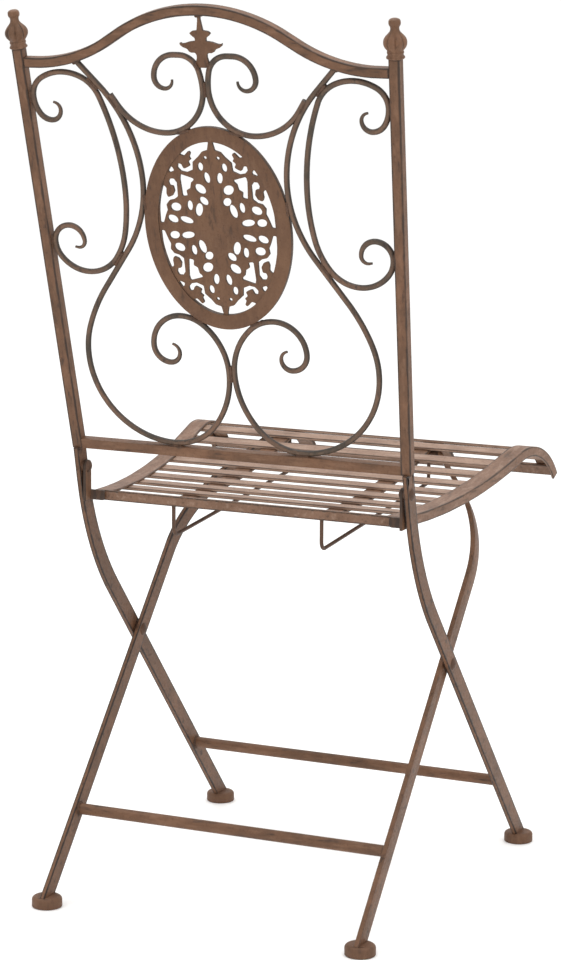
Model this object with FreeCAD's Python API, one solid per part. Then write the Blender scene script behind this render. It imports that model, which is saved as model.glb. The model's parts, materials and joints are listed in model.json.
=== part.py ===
import FreeCAD, Part
import math
import os

# Folding garden chair of painted steel. Millimetres, Z up, the sitter faces -Y, left is +X.
# The back panel and the front legs are one welded frame. The rear legs turn on the scissor
# rivets and the seat turns on the pivot rivets at the foot of the back.

V = FreeCAD.Vector

# Back panel. Its own plane has x across and y up along the back, from the lower rail.
LEAN = 12.2             # degrees behind upright
RAIL_Y = 135.0          # lower back rail, centre
RAIL_Z = 474.0
TUBE = 11.0             # square tube of the stiles
RAIL = 10.0             # square tube of the rails
WALL = 1.5
LOWER_RAIL = 1.0        # centre of the lower rail, up the back
STILE_X = 184.0         # stile centre at the lower rail
FLARE = 2.45            # degrees that each stile spreads outwards
STILE_TOP = 418.0       # stile end, up the back
ARCH_FOOT = 404.0       # level ends of the top rail
ARCH_RISE = 56.4
ARCH_HALF = 185.0       # half width of the arch between its level ends
ARCH_SLOPE = 32.0       # degrees where the crown turns into the shoulder
CROWN_R = 170.0

# Finials turned on the stile tops
LIP_R = 9.0
COLLAR_R = 8.2
BULB_R = 11.8
NECK_R = 4.4
KNOB_R = 5.9
LIP_H = 2.0
COLLAR_H = 8.5
BULB_H = 15.5
NECK_H = 26.8
KNOB_H = 34.5
FINIAL_H = 38.5
FLUTES = 8
FLUTE_W = 2.6           # mouth of a groove at the widest of the bulb
FLUTE_ROOT = 8.8        # radius at the bottom of the grooves

# Scrollwork of round rod
ROD = 6.0
WELD = 0.05             # gap left at a welded touch
LYRE_TOUCH = [(61, -50), (90, -40)]
LYRE_VOLUTE = [(64, -50), (40, -40), (33, -90), (17.5, -90), (11, -90), (9, -80)]
LYRE_RISE = [(90, 110), (170, 16), (52, 0), (128, -23), (115, -13), (141, -43), (32, 0)]
SIDE_TOUCH_Y = 369.0    # where a side scroll meets its stile
SIDE_SWEEP = [(22, 60), (48.1, 55), (35.52, 43), (256.8, 22), (200, 12), (75, 25), (40, 53)]
SIDE_VOLUTE = [(38.73, 50), (26, 40), (17.5, 90), (16, 90), (7, 100), (3, 0)]
SIDE_CURL = [(30, -35), (16, -55), (10.5, -90), (8, -85)]
CREST_Y = 336.6         # lowest point of a crest scroll
CREST_R = 45.0
CREST_VOLUTE = [(70, -15), (21, -75), (6, 0), (23, -90), (11, -90), (8.5, -95)]
CREST_ARM = [(60, 43), (19, 0)]

# Pierced oval medallion
OVAL_Y = 240.6
OVAL_A = 79.5           # half width and half height of the ring
OVAL_B = 104.0
RING_W = 15.0
RING_T = 5.0
LACE_T = 2.6
LACE_ROUND = 1.6        # corner radius of the pierced outlines
CREST_LEAF = [(1.9, 89.6), (14.7, 88.4), (25.5, 83.2), (35.9, 75.3), (30, 73.6), (24.6, 79),
              (22.4, 77), (24.4, 72.5), (22.4, 70.6), (26.2, 67.6), (24, 63.8), (28.2, 61.6),
              (31.3, 60.4), (33.6, 65.2), (37.4, 66), (38.2, 61.5), (34.7, 58),
              (28.8, 56.9), (21.6, 59.8), (20.9, 68), (14.2, 73.8), (10, 78.6), (4, 80.4)]
INNER_LEAF = [(20.2, 50.6), (35.8, 55), (36.8, 50), (35.6, 32), (29.6, 33.2), (30.6, 38.6),
              (26.2, 41), (24.8, 46.8)]
CORNER_LEAF = [(41.8, 58), (44.6, 63.6), (50.4, 55)]
SIDE_LEAF = [(40.6, 32), (40.4, 46), (43.4, 50), (47.8, 49.8), (49.6, 46.4), (48.6, 42.8),
             (44.9, 42.6), (43.8, 37), (46.4, 32.4), (51.6, 30.4), (53, 34.6), (52.4, 40),
             (55.4, 43.2), (58.6, 38.6), (61.4, 27.3), (62.7, 15.7), (63, 3.6), (59, 4.2),
             (55.6, 13), (53.4, 17.4), (54.2, 23), (50.6, 27.4), (45.4, 28.6)]
LEAVES = (CREST_LEAF, INNER_LEAF, CORNER_LEAF, SIDE_LEAF)
# Petal holes: centre, half length, half width, tilt in degrees
PETALS = [(7, 72.6, 1.8, 1.6, 0), (13, 63.2, 4.3, 3, 95), (6.9, 52.2, 5.6, 3.3, 80),
          (15.2, 40.4, 6.4, 4.6, 30), (12.6, 28.2, 5.2, 3.9, 35), (18.8, 19, 7, 4.1, 108),
          (28.4, 23, 5.2, 3.2, 95), (44, 20.8, 5.9, 4.4, 170), (33.6, 7.8, 7.4, 3.5, 12),
          (48.4, 8.4, 5.8, 4, 15)]

# Fleur of flat plate under the arch, right half of its outline from the tip down
FLEUR_T = 3.0
FLEUR = [(1.7, 456), (1.3, 451), (3.1, 440.2), (8.6, 439.4), (11.2, 437.4), (9, 435),
         (6, 432.8), (5.6, 429.8), (12, 429), (17.5, 427.2), (20.5, 426.9), (23, 428.4),
         (22.2, 425.4), (19.5, 423.4), (15, 421.8), (13.2, 419.2), (11, 418.2), (7, 418.2),
         (5.4, 416), (5.4, 413.5), (6.8, 408.5), (7.2, 403.5)]
FLEUR_ROUND = 0.8

# Legs of flat bar, crossing at the scissor rivet
BAR_W = 18.0
BAR_T = 5.0
LEG_LEAN = 41.9         # degrees from upright
CROSS_Y = 9.3
CROSS_Z = 250.0
FRONT_BEND_R = 284.0    # front leg bends up into the stile
TONGUE_FIT = 0.2        # side clearance of the leg's tongue inside the stile tube
TONGUE_L = 25.0
LAYER_GAP = 2.4         # washer space between the two leg planes
REAR_STRAIGHT = 103.0   # straight part of the rear leg above the crossing
REAR_BEND_R = 165.0     # then it bends inwards
REAR_BEND = 40.0
PEG_D = 10.0            # slide peg on the rear leg top
PEG_TIP_X = 86.3
PEG_GAP = 0.3           # under the strap
TIP_GAP = 1.0           # rear leg top clear of the slats
STRETCHER_D = 12.0
STRETCHER_DROP = 163.0  # below the crossing
FOOT_D = 31.5
FOOT_H = 11.5
FOOT_SINK = 2.5         # the bar stands this deep in its foot
FOOT_SOFT = 3.8         # radii of its upper and lower edges
FOOT_SOLE = 1.5

# Rivets
SHANK_D = 6.0
HEAD_D = 13.0
HEAD_H = 3.0
RUN_FIT = 0.05          # radial clearance of a turning hole
HEAD_GAP = 0.2          # head and washer clear of a turning face

# Seat: a shallow dish rising to a crest and a rolled front lip
PIVOT_DROP = 25.6       # seat pivot below the lower rail, along the back
SEAT_REAR = 121.5       # rear face
DISH_Y = 62.0           # lowest point of the seat
DISH_Z = 421.0
LIP_Y = -170.6          # crest of the front roll
LIP_Z = 451.3
ROLL_R = 82.0
ROLL_END = 58.0         # degrees past the crest
SEAT_FRONT_HALF = 209.5
BAND_W = 20.0
BAND_T = 2.0
EDGE_H = 10.5
EDGE_T = 2.5
SLATS = 10
SLAT_W = 16.0
SLAT_T = 3.0
SLAT_FIRST = 52.0       # centre of the first slat, along the seat from the rear
SLAT_PITCH = 32.3
NOSE_W = 16.0           # front rail
NOSE_T = 3.0
STRAP_X = 83.5
STRAP_W = 20.0
STRAP_T = 3.0
STRAP_END = 356.0
WIRE_D = 4.0
WIRE_LOW = 381.0        # rear lower corner of the guide wire
WIRE_RISE = 4.3         # degrees that it rises forwards
WIRE_FRONT = -172.0
WIRE_BEND = 8.0
EAR_R = 6.5             # hinge ear round the pivot
EAR_T = 3.0
EAR_CLEAR = 3.1         # from the ear to the end of the rear rail
TAB_LAP = 13.0          # hinge tab behind the rear rail
TAB_ROUND = 3.0


def polar(length, degrees):
    """Vector of a length and direction in a drawing plane."""
    angle = math.radians(degrees)
    return V(length * math.cos(angle), length * math.sin(angle), 0)


def trace(start, heading, moves, side=0.0):
    """Edges of a walk shifted to its left by side, with the walk's end and last heading.

    A move is a straight run (length, 0) or an arc (radius, turn), a left turn positive.
    """
    edges = []
    for size, turn in moves:
        here = start + polar(side, heading + 90)
        if turn == 0:
            start = start + polar(size, heading)
            edges.append(Part.makeLine(here, start + polar(side, heading + 90)))
            continue
        hand = 1 if turn > 0 else -1
        centre = start + polar(size, heading + 90 * hand)
        spoke = heading - 90 * hand
        radius = size - side * hand
        middle = centre + polar(radius, spoke + turn / 2)
        end = centre + polar(radius, spoke + turn)
        edges.append(Part.Arc(here, middle, end).toShape())
        start = centre + polar(size, spoke + turn)
        heading += turn
    return edges, start, heading


def share(move, part):
    """The first part, as a fraction, of one move."""
    size, turn = move
    return (size, turn * part) if turn else (size * part, 0)


def stretch(start, heading, moves, first, last):
    """The piece of a walk between two lengths along it: its start, heading and moves."""
    kept = []
    done = 0.0
    for move in moves:
        size, turn = move
        length = size * math.radians(abs(turn)) if turn else size
        low = min(max((first - done) / length, 0), 1)
        high = min(max((last - done) / length, 0), 1)
        if low > 0:
            start, heading = trace(start, heading, [share(move, low)])[1:]
        if high > low:
            kept.append(share(move, high - low))
        done += length
    return start, heading, kept


def both_ways(anchor, heading, onward, back):
    """A walk through an anchor point, begun at the far end of its back branch."""
    end, facing = trace(anchor, heading + 180, back)[1:]
    turned = [(size, -turn) for size, turn in reversed(back)]
    return end, facing + 180, turned + onward


def strip(start, heading, moves, low, high):
    """Flat face between two side shifts of a walk."""
    near = trace(start, heading, moves, low)[0]
    far = trace(start, heading, moves, high)[0]
    ends = [Part.makeLine(near[i].Vertexes[i].Point, far[i].Vertexes[i].Point) for i in (0, -1)]
    return Part.Face(Part.Wire(Part.sortEdges(near + far + ends)[0]))


def slab(face, low, high):
    """A face in a drawing plane made solid between two heights above that plane."""
    return face.translated(V(0, 0, low)).extrude(V(0, 0, high - low))


def bar(start, heading, moves, width, depth):
    """Rectangular bar along a walk, centred on it."""
    return slab(strip(start, heading, moves, -width / 2, width / 2), -depth / 2, depth / 2)


def rod(start, heading, moves, diameter):
    """Round rod along a walk."""
    ring = Part.Wire(Part.makeCircle(diameter / 2, start, polar(1, heading)))
    return Part.Wire(trace(start, heading, moves)[0]).makePipe(Part.Face(ring))


def rounded(points, radius):
    """Closed outline of straight sides with rounded corners."""
    spots = [V(x, y, 0) for x, y in points]
    corners = []
    for i, spot in enumerate(spots):
        before = spots[i - 1] - spot
        after = spots[(i + 1) % len(spots)] - spot
        half = before.getAngle(after) / 2
        reach = min(radius / math.tan(half), 0.45 * before.Length, 0.45 * after.Length)
        first = spot + before.normalize() * reach
        last = spot + after.normalize() * reach
        inward = (before + after).normalize()
        middle = spot + inward * (reach / math.cos(half) - reach * math.tan(half))
        corners.append((first, middle, last))
    edges = []
    for i, (first, middle, last) in enumerate(corners):
        edges.append(Part.makeLine(corners[i - 1][2], first))
        edges.append(Part.Arc(first, middle, last).toShape())
    return Part.Wire(edges)


def oval_plate(inset, thickness):
    """Flat oval plate of the medallion, smaller than its outline by an inset."""
    curve = Part.Ellipse(V(0, OVAL_B - inset, 0), V(OVAL_A - inset, 0, 0), V(0, 0, 0))
    return slab(Part.Face(Part.Wire(curve.toShape())), -thickness / 2, thickness / 2)


def mirrored(shape):
    """The same shape on the sitter's right."""
    return shape.mirror(V(0, 0, 0), V(1, 0, 0))


def placed(shape, place):
    """A copy of a shape put in a placement."""
    moved = shape.copy()
    moved.Placement = place.multiply(moved.Placement)
    return moved


def save(name, *shapes):
    """Write one named piece, or a group of equal pieces."""
    shape = shapes[0] if len(shapes) == 1 else Part.makeCompound(list(shapes))
    shape.exportStep("parts/" + name + ".step")


def save_pair(name, shape):
    """Write a piece for the sitter's left and its mirror image for the right."""
    save("left_" + name, shape)
    save("right_" + name, mirrored(shape))


# Drawing planes: BACK is the plane of the back panel, SIDE is drawn as (y, z) and raised
# along X.
BACK = FreeCAD.Placement(V(0, RAIL_Y, RAIL_Z), FreeCAD.Rotation(V(1, 0, 0), 90 - LEAN))
SIDE = FreeCAD.Placement(V(0, 0, 0), FreeCAD.Rotation(V(1, 1, 1), 120))

CROSS = V(CROSS_Y, CROSS_Z, 0)
PIVOT = V(RAIL_Y, RAIL_Z, 0) - polar(PIVOT_DROP, 90 - LEAN)
FRONT_OUT = STILE_X + BAR_T / 2
FRONT_IN = STILE_X - BAR_T / 2
REAR_OUT = FRONT_IN - LAYER_GAP
REAR_IN = REAR_OUT - BAR_T
EAR_IN = REAR_OUT - EAR_T
SEAT_REAR_HALF = EAR_IN - EAR_CLEAR
STILE_LOW = LOWER_RAIL - RAIL / 2


def stile_point(up, side=0.0):
    """Point of the left stile in the back plane, moved outwards by side."""
    return V(STILE_X + up * math.tan(math.radians(FLARE)), up, 0) + polar(side, -FLARE)


def stile_bar(width):
    """Square bar on the left stile's line, in the back plane."""
    run = (STILE_TOP - STILE_LOW) / math.cos(math.radians(FLARE))
    return bar(stile_point(STILE_LOW), 90 - FLARE, [(run, 0)], width, width)


def rail_tube(start, moves):
    """Square tube along a walk, its ends cut to the two stiles."""
    outside = bar(start, 0, moves, RAIL, RAIL)
    inside = bar(start, 0, moves, RAIL - 2 * WALL, RAIL - 2 * WALL)
    stile = stile_bar(TUBE)
    return outside.cut(stile).cut(mirrored(stile)).cut(inside)


def arch_moves():
    """Right half of the top rail's walk, from the crown's end to the stile."""
    slope = math.radians(ARCH_SLOPE)
    crown = trace(V(0, 0, 0), 0, [(CROWN_R, -ARCH_SLOPE)])[1]
    across = ARCH_HALF - crown.x
    drop = ARCH_RISE + crown.y
    flat = 1 - math.cos(slope)
    radius = (math.sin(slope) * across - math.cos(slope) * drop) / flat
    run = (math.sin(slope) * drop - flat * across) / flat
    level = stile_point(ARCH_FOOT).x - ARCH_HALF
    return [(run, 0), (radius, ARCH_SLOPE), (level, 0)]


def finial():
    """Turned finial with a fluted bulb, on the left stile's end."""
    bulb = Part.Arc(V(COLLAR_R, COLLAR_H, 0), V(BULB_R, BULB_H, 0), V(NECK_R, NECK_H, 0))
    knob_foot = V(NECK_R, (NECK_H + KNOB_H) / 2, 0)
    knob = Part.Arc(knob_foot, V(KNOB_R, KNOB_H, 0), V(NECK_R, FINIAL_H, 0))
    lip = [V(0, FINIAL_H, 0), V(0, 0, 0), V(LIP_R, 0, 0), V(LIP_R, LIP_H, 0),
           V(COLLAR_R, LIP_H, 0), V(COLLAR_R, COLLAR_H, 0)]
    edges = [Part.makeLine(a, b) for a, b in zip(lip, lip[1:])]
    edges += [bulb.toShape(), Part.makeLine(V(NECK_R, NECK_H, 0), knob_foot), knob.toShape(),
              Part.makeLine(V(NECK_R, FINIAL_H, 0), lip[0])]
    turned = Part.Face(Part.Wire(edges)).revolve(V(0, 0, 0), V(0, 1, 0), 360)
    outside = 2 * BULB_R - FLUTE_ROOT
    wedge = [V(FLUTE_ROOT, COLLAR_H, 0), V(outside, COLLAR_H, FLUTE_W),
             V(outside, COLLAR_H, -FLUTE_W), V(FLUTE_ROOT, COLLAR_H, 0)]
    flute = Part.Face(Part.makePolygon(wedge)).extrude(V(0, NECK_H - COLLAR_H, 0))
    turned = turned.cut([flute.rotated(V(0, 0, 0), V(0, 1, 0), 360.0 * i / FLUTES)
                         for i in range(FLUTES)])
    seat = FreeCAD.Placement(stile_point(STILE_TOP), FreeCAD.Rotation(V(0, 0, 1), -FLARE))
    return placed(turned, seat)


def medallion():
    """Oval ring with a thinner pierced plate inside, alike in its four quarters."""
    ring = oval_plate(0, RING_T).cut(oval_plate(RING_W, RING_T))
    holes = [rounded(leaf, LACE_ROUND) for leaf in LEAVES]
    for x, y, length, width, tilt in PETALS:
        petal = Part.Wire(Part.Ellipse(V(0, 0, 0), length, width).toShape())
        petal.Placement = FreeCAD.Placement(V(x, y, 0), FreeCAD.Rotation(V(0, 0, 1), tilt))
        holes.append(petal)
    cutters = [slab(Part.Face(hole), -LACE_T, LACE_T) for hole in holes]
    cutters += [mirrored(cutter) for cutter in cutters]
    cutters += [cutter.mirror(V(0, 0, 0), V(0, 1, 0)) for cutter in cutters]
    lace = oval_plate(RING_W / 2, LACE_T).cut(cutters)
    return ring.fuse(lace).translated(V(0, OVAL_Y, 0))


def back_panel():
    """Stiles, rails, finials and all ornament, drawn in the back plane."""
    stile = stile_bar(TUBE).cut(stile_bar(TUBE - 2 * WALL))
    half = arch_moves()
    arch = half[::-1] + [(CROWN_R, -2 * ARCH_SLOPE)] + half
    arch_start = -stile_point(ARCH_FOOT).x
    top = rail_tube(V(arch_start, ARCH_FOOT, 0), arch)
    top_block = bar(V(arch_start, ARCH_FOOT, 0), 0, arch, RAIL, RAIL)
    lower = rail_tube(V(-STILE_X, LOWER_RAIL, 0), [(2 * STILE_X, 0)])

    touch = ROD / 2 + WELD
    lyre_x = touch - trace(V(0, 0, 0), 180, LYRE_TOUCH)[1].x
    lyre_y = LOWER_RAIL + RAIL / 2 + touch
    lyre = rod(*both_ways(V(lyre_x, lyre_y, 0), 180, LYRE_TOUCH + LYRE_VOLUTE, LYRE_RISE), ROD)
    lyre = lyre.cut(top_block)
    side_at = stile_point(SIDE_TOUCH_Y, -TUBE / 2 - touch)
    side = rod(*both_ways(side_at, 90, SIDE_SWEEP + SIDE_VOLUTE, SIDE_CURL), ROD)
    crest = rod(*both_ways(V(touch + CREST_R, CREST_Y, 0), 180, [(CREST_R, -90)] + CREST_VOLUTE,
                           CREST_ARM), ROD)
    crest = crest.cut(lyre)
    outline = FLEUR + [(-x, y) for x, y in reversed(FLEUR)]
    fleur = Part.Face(rounded(outline, FLEUR_ROUND))
    fleur = slab(fleur, -FLEUR_T / 2, FLEUR_T / 2).cut(crest).cut(mirrored(crest)).cut(top_block)

    pairs = {"stile": stile, "finial": finial(), "lyre_scroll": lyre, "side_scroll": side,
             "crest_scroll": crest}
    for name, shape in pairs.items():
        save_pair(name, placed(shape, BACK))
    singles = {"top_rail": top, "lower_back_rail": lower, "oval_medallion": medallion(),
               "crest_fleur": fleur}
    for name, shape in singles.items():
        save(name, placed(shape, BACK))


def pin_hole(at, diameter):
    """Cutter along X through one side of the chair."""
    return Part.makeCylinder(diameter / 2, FRONT_OUT, V(0, at.x, at.y), V(1, 0, 0))


def foot(x, y, leg):
    """Round foot cap with a pocket for the bar that stands in it."""
    r = FOOT_D / 2
    soft = FOOT_SOFT
    sole = FOOT_SOLE
    rim = polar(1, 45)
    shoulder = Part.Arc(V(r, 0, FOOT_H - soft),
                        V(r - soft + soft * rim.x, 0, FOOT_H - soft + soft * rim.y),
                        V(r - soft, 0, FOOT_H)).toShape()
    tread = Part.Arc(V(r - sole, 0, 0), V(r - sole + sole * rim.x, 0, sole - sole * rim.y),
                     V(r, 0, sole)).toShape()
    edges = [Part.makeLine(V(0, 0, 0), V(r - sole, 0, 0)), tread,
             Part.makeLine(V(r, 0, sole), V(r, 0, FOOT_H - soft)), shoulder,
             Part.makeLine(V(r - soft, 0, FOOT_H), V(0, 0, FOOT_H)),
             Part.makeLine(V(0, 0, FOOT_H), V(0, 0, 0))]
    cap = Part.Face(Part.Wire(edges)).revolve(V(0, 0, 0), V(0, 0, 1), 360)
    return cap.translated(V(x, y, 0)).cut(leg)


def floor_cut(leg):
    """A leg cut level where it stands in its foot."""
    below = Part.makeBox(2 * FRONT_OUT, 1000, 100, V(-FRONT_OUT, -500, FOOT_H - FOOT_SINK - 100))
    return leg.cut(below)


def foot_spot(front):
    """Distance in Y from the crossing to the middle of a foot."""
    reach = (CROSS_Z - FOOT_H + FOOT_SINK / 2) * math.tan(math.radians(LEG_LEAN))
    return CROSS_Y - reach if front else CROSS_Y + reach


def front_legs():
    """Bars from the front feet up through the crossing and into the stiles."""
    rise = 90 - LEG_LEAN
    bend = LEG_LEAN - LEAN
    back_line = V(RAIL_Y, RAIL_Z, 0)
    away = back_line - CROSS
    along = polar(1, rise)
    upward = polar(1, 90 - LEAN)
    gap = away.cross(upward).z / along.cross(upward).z
    corner = CROSS + along * gap
    tangent = FRONT_BEND_R * math.tan(math.radians(bend / 2))
    below = CROSS_Z / math.cos(math.radians(LEG_LEAN))
    top = (back_line - corner).dot(upward) + STILE_LOW + 1
    moves = [(below + gap - tangent, 0), (FRONT_BEND_R, bend), (top - tangent, 0)]
    blade = strip(CROSS - along * below, rise, moves, -BAR_W / 2, BAR_W / 2)
    leg = placed(slab(blade, FRONT_IN, FRONT_OUT), SIDE)
    leg = leg.cut(placed(stile_bar(TUBE), BACK))
    root = back_line + upward * (STILE_LOW - 2)
    half = TUBE / 2 - WALL - TONGUE_FIT
    tongue = strip(root, 90 - LEAN, [(TONGUE_L + 2, 0)], -half, half)
    leg = floor_cut(leg).fuse(placed(slab(tongue, FRONT_IN, FRONT_OUT), SIDE))
    leg = leg.removeSplitter()
    for at in (CROSS, PIVOT):
        leg = leg.cut(pin_hole(at, SHANK_D))
    save_pair("front_leg", leg)
    save_pair("front_foot", foot(STILE_X, foot_spot(True), leg))
    drop = STRETCHER_DROP * math.tan(math.radians(LEG_LEAN))
    save("front_stretcher", Part.makeCylinder(
        STRETCHER_D / 2, 2 * FRONT_IN,
        V(-FRONT_IN, CROSS_Y - drop, CROSS_Z - STRETCHER_DROP), V(1, 0, 0)))


def peg_reach():
    """Length from the crossing to the slide peg, which runs under the roll of the straps."""
    centre = V(LIP_Y, LIP_Z - ROLL_R, 0)
    radius = ROLL_R - BAND_T - SLAT_T - STRAP_T - PEG_GAP - PEG_D / 2
    away = centre - CROSS
    near = away.dot(polar(1, 90 + LEG_LEAN))
    return near + math.sqrt(near ** 2 - away.Length ** 2 + radius ** 2)


def rear_legs():
    """Bars from the rear feet up through the crossing, bending in to the slide pegs."""
    lean = math.radians(LEG_LEAN)
    upward = V(0, -math.sin(lean), math.cos(lean))
    across = V(0, math.cos(lean), math.sin(lean))
    plane = FreeCAD.Placement(V(0, CROSS_Y, CROSS_Z),
                              FreeCAD.Rotation(upward, V(1, 0, 0), across, "XYZ"))
    below = CROSS_Z / math.cos(lean)
    start = V(-below, REAR_OUT - BAR_T / 2, 0)
    moves = [(below + REAR_STRAIGHT, 0), (REAR_BEND_R, -REAR_BEND)]
    bent = trace(start, 0, moves)[1]
    reach = peg_reach()
    last = (reach - bent.x) / math.cos(math.radians(REAR_BEND))
    peg_x = bent.y - last * math.sin(math.radians(REAR_BEND))
    leg = placed(bar(start, 0, moves + [(last + 2 * BAR_T, 0)], BAR_T, BAR_W), plane)
    inside = Part.makeBox(peg_x, 1000, 1000, V(0, -500, 0))
    above = seat_sheet(0, seat_length(), 0, BAND_T + SLAT_T + TIP_GAP, 0, FRONT_OUT)
    leg = floor_cut(leg).cut(inside).cut(above).cut(pin_hole(CROSS, SHANK_D + 2 * RUN_FIT))
    save_pair("rear_leg", leg)
    save_pair("rear_foot", foot(REAR_OUT - BAR_T / 2, foot_spot(False), leg))
    peg_at = plane.multVec(V(reach, 0, 0))
    save_pair("slide_peg", Part.makeCylinder(PEG_D / 2, peg_x - PEG_TIP_X,
                                             peg_at + V(PEG_TIP_X, 0, 0), V(1, 0, 0)))
    drop = STRETCHER_DROP * math.tan(lean)
    save("rear_stretcher", Part.makeCylinder(
        STRETCHER_D / 2, 2 * REAR_IN,
        V(-REAR_IN, CROSS_Y + drop, CROSS_Z - STRETCHER_DROP), V(1, 0, 0)))


def rivet(at, inner):
    """Rivet with two domed heads through the left side, from an inner face outwards."""
    r = HEAD_D / 2
    dome = (r ** 2 + HEAD_H ** 2) / (2 * HEAD_H)
    half = math.degrees(math.asin(r / dome)) / 2
    swell = dome * math.cos(math.radians(half)) - (dome - HEAD_H)
    side = dome * math.sin(math.radians(half))
    low = inner - HEAD_GAP
    shank = [V(low, r, 0), V(low, SHANK_D / 2, 0), V(FRONT_OUT, SHANK_D / 2, 0),
             V(FRONT_OUT, r, 0)]
    tips = [V(low - HEAD_H, 0, 0), V(FRONT_OUT + HEAD_H, 0, 0)]
    edges = [Part.makeLine(a, b) for a, b in zip(shank, shank[1:])]
    edges += [Part.Arc(tips[0], V(low - swell, side, 0), shank[0]).toShape(),
              Part.Arc(shank[-1], V(FRONT_OUT + swell, side, 0), tips[1]).toShape(),
              Part.makeLine(tips[1], tips[0])]
    face = Part.Face(Part.Wire(Part.sortEdges(edges)[0]))
    return face.revolve(V(0, 0, 0), V(1, 0, 0), 360).translated(V(0, at.x, at.y))


def fasteners():
    """Rivets at the crossing and the seat pivot, with washers between the leg planes."""
    for name, at, inner in (("scissor_rivets", CROSS, REAR_IN),
                            ("seat_pivot_rivets", PIVOT, EAR_IN)):
        pin = rivet(at, inner)
        save(name, pin, mirrored(pin))
    washers = []
    for at in (CROSS, PIVOT):
        spot = V(REAR_OUT + HEAD_GAP, at.x, at.y)
        disc = Part.makeCylinder(HEAD_D / 2, LAYER_GAP - HEAD_GAP, spot, V(1, 0, 0))
        washer = disc.cut(pin_hole(at, SHANK_D))
        washers += [washer, mirrored(washer)]
    save("pivot_washers", *washers)


def seat_curve():
    """Side view of the seat's top from its rear end: start, heading and moves."""
    rise = LIP_Z - DISH_Z
    run = DISH_Y - LIP_Y
    climb = 2 * math.degrees(math.atan(rise / run))
    dish_r = run / math.sin(math.radians(climb)) - ROLL_R
    dip = math.degrees(math.asin((SEAT_REAR - DISH_Y) / dish_r))
    start = V(SEAT_REAR, DISH_Z + dish_r * (1 - math.cos(math.radians(dip))), 0)
    return start, 180 + dip, [(dish_r, -dip - climb), (ROLL_R, climb + ROLL_END)]


def seat_height(y):
    """Height of the seat's top at a place along the chair."""
    start, heading, moves = seat_curve()
    dish_r = moves[0][0]
    join = DISH_Y - dish_r * math.sin(math.radians(-moves[0][1] - heading + 180))
    if y > join:
        return DISH_Z + dish_r - math.sqrt(dish_r ** 2 - (y - DISH_Y) ** 2)
    return LIP_Z - ROLL_R + math.sqrt(ROLL_R ** 2 - (y - LIP_Y) ** 2)


def seat_sheet(first, last, top, bottom, left, right):
    """Sheet following the seat between two lengths, two depths below its top and two x."""
    face = strip(*stretch(*seat_curve(), first, last), top, bottom)
    return placed(slab(face, left, right), SIDE)


def seat_plan(inset):
    """Upright prism of the seat's plan in front of the rear rail, inside an inset."""
    front = LIP_Y - ROLL_R
    rear = SEAT_REAR - EDGE_T
    slope = (SEAT_FRONT_HALF - SEAT_REAR_HALF) / (SEAT_REAR - front)
    wide = [SEAT_REAR_HALF - inset + slope * (SEAT_REAR - y) for y in (rear, front)]
    corners = [V(wide[0], rear, 0), V(wide[1], front, 0), V(-wide[1], front, 0),
               V(-wide[0], rear, 0)]
    face = Part.Face(Part.makePolygon(corners + corners[:1]))
    return slab(face, DISH_Z - ROLL_R, LIP_Z + ROLL_R)


def seat_length():
    """Length along the seat's top from the rear to the end of the roll."""
    return sum(radius * math.radians(abs(turn)) for radius, turn in seat_curve()[2])


def seat_sheets():
    """Side rails, rear rail, front rail, slats, under-straps and their guide wires."""
    length = seat_length()
    under = BAND_T + SLAT_T
    half = SEAT_FRONT_HALF
    outline = seat_plan(0)
    room = seat_plan(EDGE_T)
    band = seat_sheet(0, length, 0, BAND_T, 0, half).common(outline).cut(seat_plan(BAND_W))
    edge = seat_sheet(0, length, 0, EDGE_H, 0, half).common(outline).cut(room)
    save_pair("seat_side_rail", band.fuse(edge).removeSplitter())

    rear_low = seat_height(SEAT_REAR) - EDGE_H
    upright = Part.makeBox(2 * SEAT_REAR_HALF, EDGE_T, EDGE_H,
                           V(-SEAT_REAR_HALF, SEAT_REAR - EDGE_T, rear_low))
    shelf = seat_sheet(0, BAND_W, BAND_T, under, -half, half).common(room)
    save("rear_seat_rail", upright.fuse(shelf).removeSplitter())
    nose = seat_sheet(length - NOSE_W, length, BAND_T, BAND_T + NOSE_T, -half, half)
    save("front_seat_rail", nose.common(room))
    for i in range(SLATS):
        middle = SLAT_FIRST + SLAT_PITCH * i
        slat = seat_sheet(middle - SLAT_W / 2, middle + SLAT_W / 2, BAND_T, under, -half, half)
        save("seat_slat_%02d" % (i + 1), slat.common(room))
    strap = seat_sheet(0, STRAP_END, under, under + STRAP_T, STRAP_X - STRAP_W / 2,
                       STRAP_X + STRAP_W / 2).common(room)
    save_pair("under_strap", strap)
    save_pair("guide_wire", guide_wire(strap))


def guide_wire(strap):
    """Long wire loop welded under a strap, down at the rear and up near the front."""
    rear = SEAT_REAR - EDGE_T - WIRE_D / 2
    sunk = BAND_T + SLAT_T + STRAP_T / 2
    down = 90 + WIRE_RISE
    up = 90 - WIRE_RISE
    bite = [WIRE_BEND * math.tan(math.radians(turn / 2)) for turn in (down, up)]
    level = rear - WIRE_FRONT
    front_low = WIRE_LOW + level * math.tan(math.radians(WIRE_RISE))
    start = V(rear, seat_height(rear) - sunk, 0)
    moves = [(start.y - WIRE_LOW - bite[0], 0), (WIRE_BEND, -down),
             (level / math.cos(math.radians(WIRE_RISE)) - sum(bite), 0), (WIRE_BEND, -up),
             (seat_height(WIRE_FRONT) - sunk - front_low - bite[1], 0)]
    wire = placed(rod(start, 270, moves, WIRE_D), SIDE)
    return wire.translated(V(STRAP_X, 0, 0)).cut(strap)


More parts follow.
